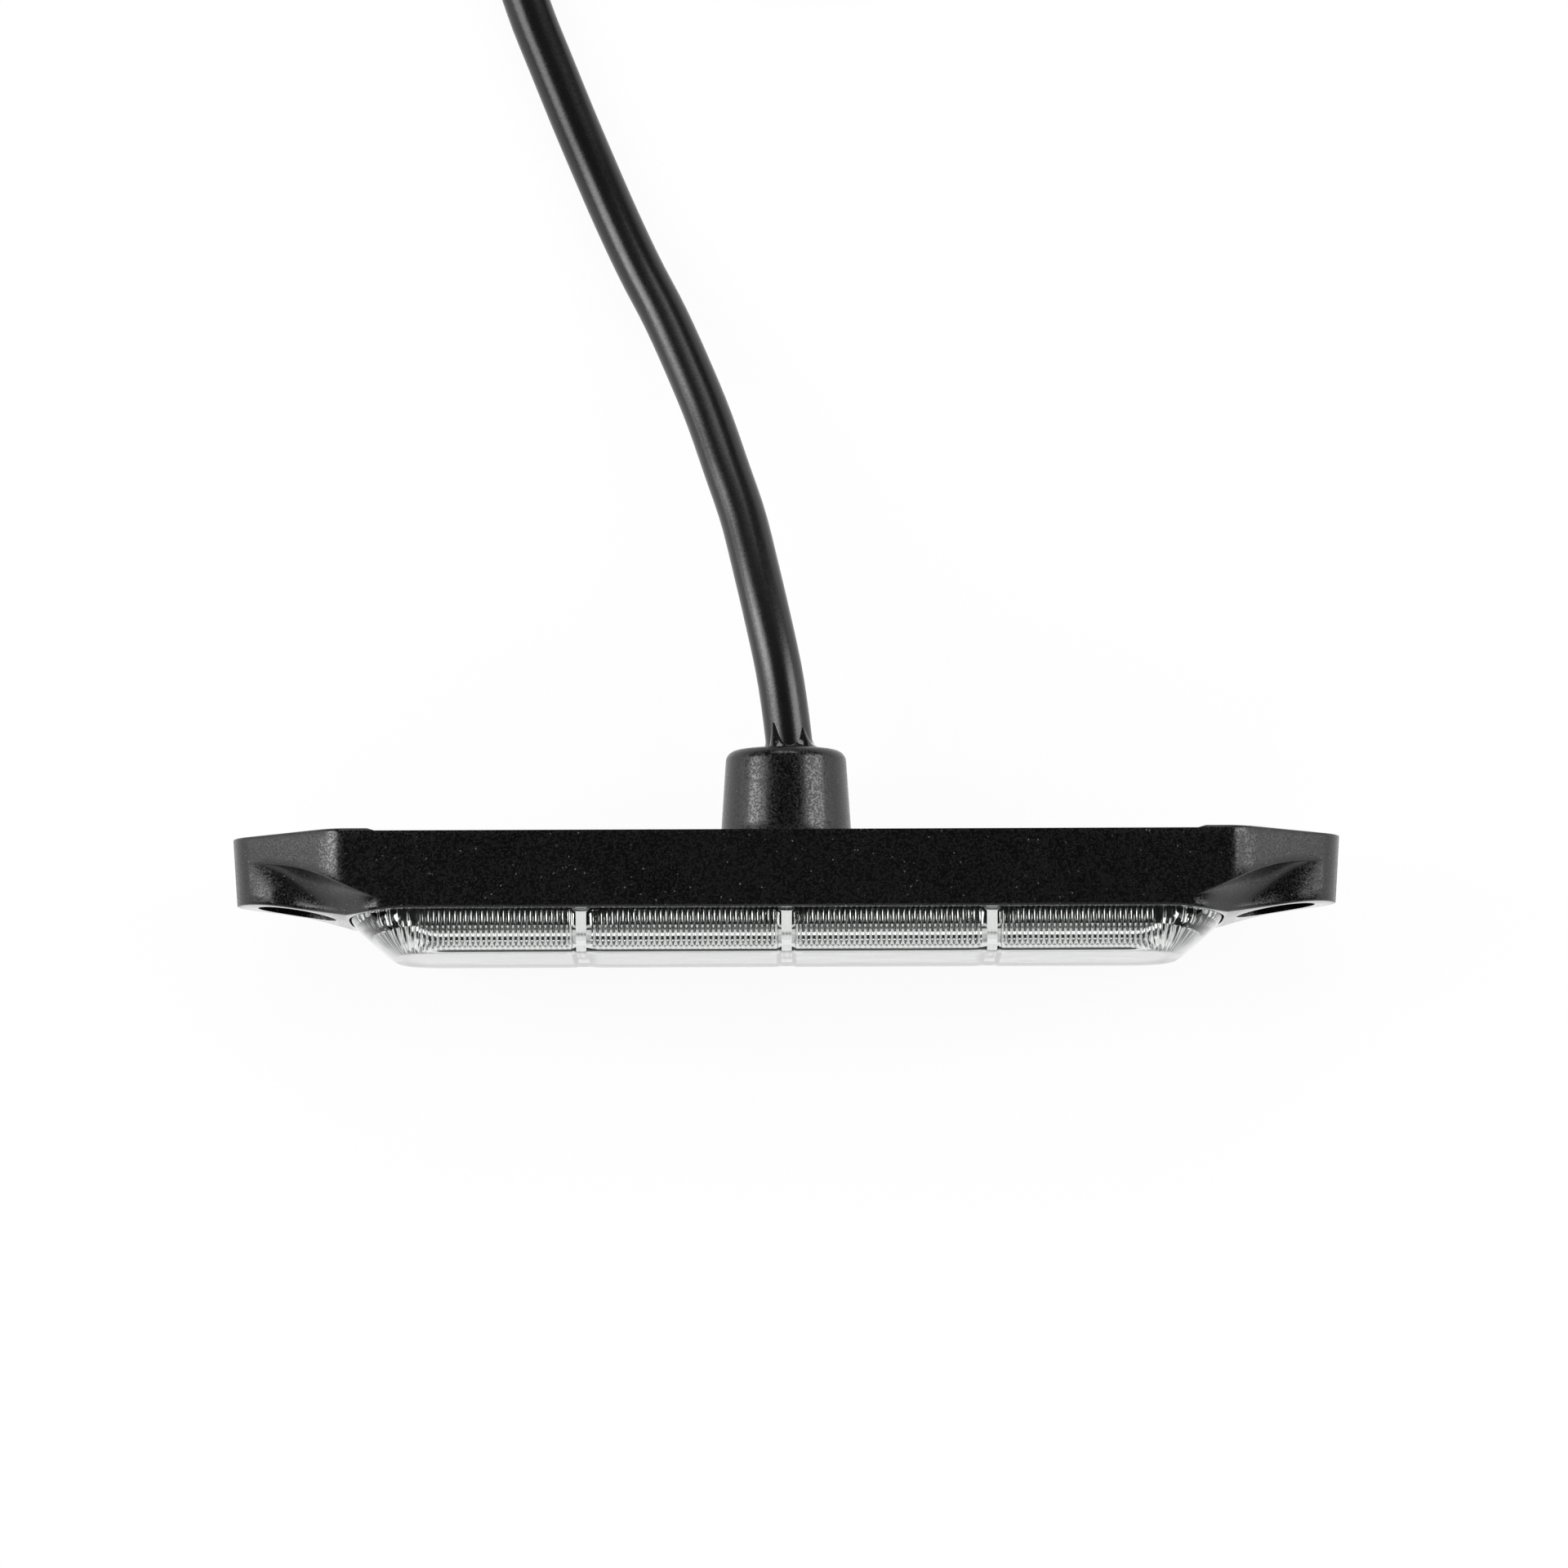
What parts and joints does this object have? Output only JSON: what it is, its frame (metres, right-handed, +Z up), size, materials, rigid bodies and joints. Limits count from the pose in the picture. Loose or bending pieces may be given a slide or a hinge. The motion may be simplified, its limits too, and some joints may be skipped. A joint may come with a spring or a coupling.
{
  "type": "surface-mount led warning lamp",
  "caption": "Slim surface-mount LED warning lamp: black scooped-ear housing, clear fluted pillow lens, reflectors and board inside, round cable out of a back boss.",
  "frame": {"origin": "under the middle of the lamp body, on the table it lies on with its long side wall down", "axes": "+X along the housing, -Y out of the lens, +Y out of the mounting face and the cable boss, +Z up across the width of the housing"},
  "size_m": [0.1395, 0.2025, 0.029],
  "materials": {
    "housing_coat": "black powder coat with a fine orange-peel grain",
    "lens": "clear moulded polycarbonate, fluted on its inner walls",
    "gasket": "soft black silicone",
    "reflector": "vacuum-metallised, bright",
    "led_package": "white package with a clear dome over pale yellow phosphor",
    "board_mask": "aluminium-cored board with satin white solder mask",
    "thermal_pad": "grey-blue filled silicone",
    "component_black": "moulded black epoxy",
    "choke_ferrite": "dark ferrite",
    "capacitor_ceramic": "tan ceramic",
    "screw_steel": "plated steel",
    "solder": "tin, satin",
    "potting": "black epoxy",
    "adhesive": "wet-looking black adhesive",
    "cable_jacket": "black PVC with a soft sheen",
    "tie_plastic": "plastic-coated wire",
    "core_red": "satin PVC",
    "core_black": "satin PVC",
    "core_yellow": "satin PVC",
    "core_blue": "satin PVC",
    "core_white": "satin PVC"
  },
  "bodies": {
    "root": {"housing": "housing_coat", "outer_lens": "lens", "lens_gasket": "gasket", "reflector_1": "reflector", "reflector_2": "reflector", "reflector_3": "reflector", "reflector_4": "reflector", "led_1": "led_package", "led_2": "led_package", "led_3": "led_package", "led_4": "led_package", "led_5": "led_package", "led_6": "led_package", "led_7": "led_package", "led_8": "led_package", "led_9": "led_package", "led_10": "led_package", "led_11": "led_package", "led_12": "led_package", "led_board": "board_mask", "thermal_pad": "thermal_pad", "controller_chip": "component_black", "power_switches": "component_black", "chokes": "choke_ferrite", "capacitors": "capacitor_ceramic", "resistors": "component_black", "input_diode": "component_black", "board_screws": "screw_steel", "core_joints": "solder", "core_red": "core_red", "core_black": "core_black", "core_yellow": "core_yellow", "core_blue": "core_blue", "core_white": "core_white", "cable_end": "cable_jacket", "cable_potting": "potting", "cable_seal": "adhesive", "cable_lead": "cable_jacket", "cable_coil": "cable_jacket", "cable_tie": "tie_plastic", "cable_tail": "cable_jacket", "tail_red": "core_red", "tail_black": "core_black", "tail_yellow": "core_yellow", "tail_blue": "core_blue", "tail_white": "core_white", "tinned_tips": "solder"}
  },
  "joints": []
}
